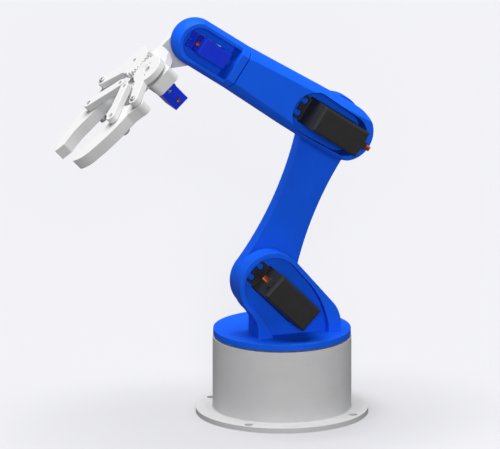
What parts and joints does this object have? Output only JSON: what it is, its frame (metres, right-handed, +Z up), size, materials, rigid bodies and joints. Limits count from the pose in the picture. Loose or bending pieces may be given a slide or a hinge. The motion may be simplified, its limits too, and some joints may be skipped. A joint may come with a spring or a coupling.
{
  "type": "desktop robot arm",
  "caption": "Desktop robot arm on a round drum base: waist, shoulder, elbow, wrist roll, wrist pitch and a geared gripper with parallel claws.",
  "frame": {"origin": "centre of the base flange's underside, on the waist axis", "axes": "+Z up, +X the way the arm reaches, +Y the side that the servos are fitted from"},
  "size_m": [0.2378, 0.1249, 0.3042],
  "materials": {
    "grey_print": "matte",
    "blue_print": "satin",
    "white_print": "matte",
    "servo_black": "satin",
    "servo_blue": "gloss",
    "steel": "satin",
    "brass": "satin",
    "horn_plastic": "satin",
    "wire_orange": "matte"
  },
  "bodies": {
    "base": {"base_housing": "grey_print", "waist_servo_case": "servo_black", "waist_servo_bottom_cover": "servo_black", "waist_servo_gear_cover": "servo_black", "waist_servo_lead": "wire_orange", "waist_servo_screws": "steel"},
    "waist": {"waist_bracket": "blue_print", "waist_horn": "horn_plastic", "waist_horn_screw": "steel", "waist_servo_shaft": "brass", "shoulder_servo_case": "servo_black", "shoulder_servo_bottom_cover": "servo_black", "shoulder_servo_gear_cover": "servo_black", "shoulder_servo_lead": "wire_orange", "shoulder_servo_screws": "steel"},
    "lower_arm": {"lower_arm": "blue_print", "shoulder_horn": "horn_plastic", "shoulder_servo_shaft": "brass", "shoulder_horn_screws": "steel", "elbow_horn": "horn_plastic", "elbow_servo_shaft": "brass", "elbow_horn_screws": "steel"},
    "forearm": {"forearm": "blue_print", "elbow_servo_case": "servo_black", "elbow_servo_bottom_cover": "servo_black", "elbow_servo_gear_cover": "servo_black", "elbow_servo_lead": "wire_orange", "elbow_servo_screws": "steel", "roll_servo_case": "servo_blue", "roll_servo_cap": "servo_blue", "roll_servo_lead": "wire_orange", "roll_servo_screws": "steel"},
    "wrist": {"wrist": "blue_print", "roll_servo_shaft": "brass", "roll_horn": "horn_plastic", "roll_horn_screw": "steel", "pitch_servo_case": "servo_blue", "pitch_servo_cap": "servo_blue", "pitch_servo_lead": "wire_orange", "pitch_servo_screw": "steel"},
    "gripper": {"gripper_base": "white_print", "pitch_servo_shaft": "brass", "pitch_horn": "horn_plastic", "pitch_horn_screw": "steel", "gripper_servo_case": "servo_blue", "gripper_servo_cap": "servo_blue", "gripper_servo_lead": "wire_orange", "gripper_servo_screws": "steel", "gripper_pivot_bolts": "steel"},
    "drive_gear": {"drive_gear_arm": "white_print", "gripper_servo_shaft": "brass", "gripper_horn": "horn_plastic", "gripper_horn_screw": "steel"},
    "idler_gear": {"idler_gear_arm": "white_print"},
    "right_link": {"right_link": "white_print"},
    "left_link": {"left_link": "white_print"},
    "right_claw": {"right_claw": "white_print", "right_claw_bolts": "steel"},
    "left_claw": {"left_claw": "white_print", "left_claw_bolts": "steel"}
  },
  "joints": [
    {"name": "waist_turn", "type": "hinge", "parent": "base", "child": "waist", "pos_m": [0, 0, 0.059], "axis": [0, 0, 1], "range_deg": [-90, 90]},
    {"name": "shoulder_pitch", "type": "hinge", "parent": "waist", "child": "lower_arm", "pos_m": [0.0165, 0.0059, 0.1], "axis": [0, -1, 0], "range_deg": [-50, 40]},
    {"name": "elbow_pitch", "type": "hinge", "parent": "lower_arm", "child": "forearm", "pos_m": [-0.03448, 0.012, 0.21084], "axis": [0, -1, 0], "range_deg": [-30, 75]},
    {"name": "wrist_roll", "type": "hinge", "parent": "forearm", "child": "wrist", "pos_m": [0.04589, 0.0282, 0.26587], "axis": [0.8251, 0, 0.565], "range_deg": [-90, 90]},
    {"name": "wrist_pitch", "type": "hinge", "parent": "wrist", "child": "gripper", "pos_m": [0.07039, 0.0135, 0.28264], "axis": [0, -1, 0], "range_deg": [-12, 167]},
    {"name": "gripper_drive", "type": "hinge", "parent": "gripper", "child": "drive_gear", "pos_m": [0.11537, 0.0403, 0.27106], "axis": [0.682, 0, 0.7314], "range_deg": [-26, 26]},
    {"name": "idler_turn", "type": "hinge", "parent": "gripper", "child": "idler_gear", "pos_m": [0.11537, 0.0133, 0.27106], "axis": [0.682, 0, 0.7314], "range_deg": [-27, 27]},
    {"name": "right_link_turn", "type": "hinge", "parent": "gripper", "child": "right_link", "pos_m": [0.12949, 0.0313, 0.25789], "axis": [0.682, 0, 0.7314], "range_deg": [-27, 27]},
    {"name": "left_link_turn", "type": "hinge", "parent": "gripper", "child": "left_link", "pos_m": [0.12949, 0.0223, 0.25789], "axis": [0.682, 0, 0.7314], "range_deg": [-27, 27]},
    {"name": "right_claw_turn", "type": "hinge", "parent": "drive_gear", "child": "right_claw", "pos_m": [0.12874, 0.05877, 0.25148], "axis": [0.682, 0, 0.7314], "range_deg": [-27, 27]},
    {"name": "left_claw_turn", "type": "hinge", "parent": "idler_gear", "child": "left_claw", "pos_m": [0.13002, -0.00274, 0.25028], "axis": [0.682, 0, 0.7314], "range_deg": [-27, 27]}
  ],
  "couplings": [
    {"joint": "idler_turn", "follows": "gripper_drive", "ratio": -1},
    {"joint": "right_link_turn", "follows": "gripper_drive", "ratio": 1},
    {"joint": "left_link_turn", "follows": "gripper_drive", "ratio": -1},
    {"joint": "right_claw_turn", "follows": "gripper_drive", "ratio": -1},
    {"joint": "left_claw_turn", "follows": "gripper_drive", "ratio": 1}
  ]
}
